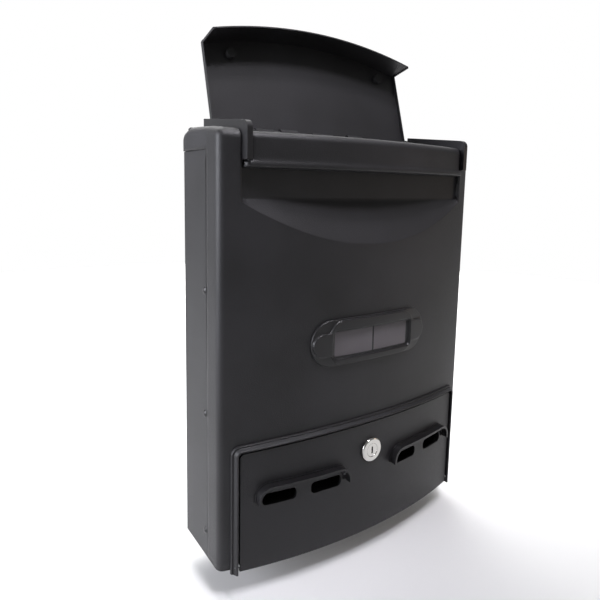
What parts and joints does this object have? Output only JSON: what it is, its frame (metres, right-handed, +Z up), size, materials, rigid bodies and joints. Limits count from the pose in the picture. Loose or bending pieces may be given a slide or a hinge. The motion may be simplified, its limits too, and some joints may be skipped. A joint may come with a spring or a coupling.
{
  "type": "wall letter box",
  "caption": "Wall-mounted letter and parcel drop box with a bowed front, lift-up top flap, drop-down lockable door, hooded view slots and a name window.",
  "frame": {"origin": "Middle of the bottom edge of the back face, on the wall plane.", "axes": "+X along the width (symmetry plane x = 0), front faces -Y with the wall at y = 0, +Z up along the height."},
  "size_m": [0.2744, 0.1194, 0.444],
  "materials": {
    "powder_coat": "fine-textured matt black powder coat on sheet steel",
    "door_coat": "fine-textured matt black powder coat on the door",
    "moulding": "satin black moulded plastic",
    "plated_steel": "bright zinc-plated steel",
    "coated_rivet": "black coated domed rivet",
    "lock_chrome": "bright chrome-plated zinc",
    "rubber": "matt black rubber",
    "clear_window": "clear glossy plastic",
    "card": "blank grey card insert",
    "card_line": "dark divider strip on the card"
  },
  "bodies": {
    "cabinet": {"rear_tray": "powder_coat", "front_shell": "powder_coat", "slot_ledge": "powder_coat", "left_cheek": "moulding", "right_cheek": "moulding", "flap_rod": "powder_coat", "door_surround": "moulding", "door_pins": "plated_steel", "cam_keeper": "plated_steel", "keeper_rivets": "plated_steel", "side_rivets": "coated_rivet", "cheek_screws": "plated_steel", "plate_bezel": "moulding", "plate_window": "clear_window", "name_card": "card", "card_divider": "card_line", "plate_push_nuts": "plated_steel"},
    "slot_flap": {"flap": "powder_coat", "left_bumper": "rubber", "right_bumper": "rubber"},
    "door": {"door_panel": "door_coat", "left_hood": "moulding", "right_hood": "moulding", "hood_studs": "plated_steel", "lock_housing": "lock_chrome", "lock_nut": "plated_steel"},
    "lock": {"lock_plug": "lock_chrome", "lock_cam": "plated_steel", "cam_screw": "plated_steel"}
  },
  "joints": [
    {"name": "flap_hinge", "type": "hinge", "parent": "cabinet", "child": "slot_flap", "pos_m": [0, -0.0025, 0.3476], "axis": [1, 0, 0], "range_deg": [0, 111.3]},
    {"name": "door_hinge", "type": "hinge", "parent": "cabinet", "child": "door", "pos_m": [0, -0.0685, 0.003], "axis": [1, 0, 0], "range_deg": [0, 90]},
    {"name": "lock_turn", "type": "hinge", "parent": "door", "child": "lock", "pos_m": [0, -0.085, 0.0747], "axis": [0, -1, 0], "range_deg": [0, 90]}
  ]
}
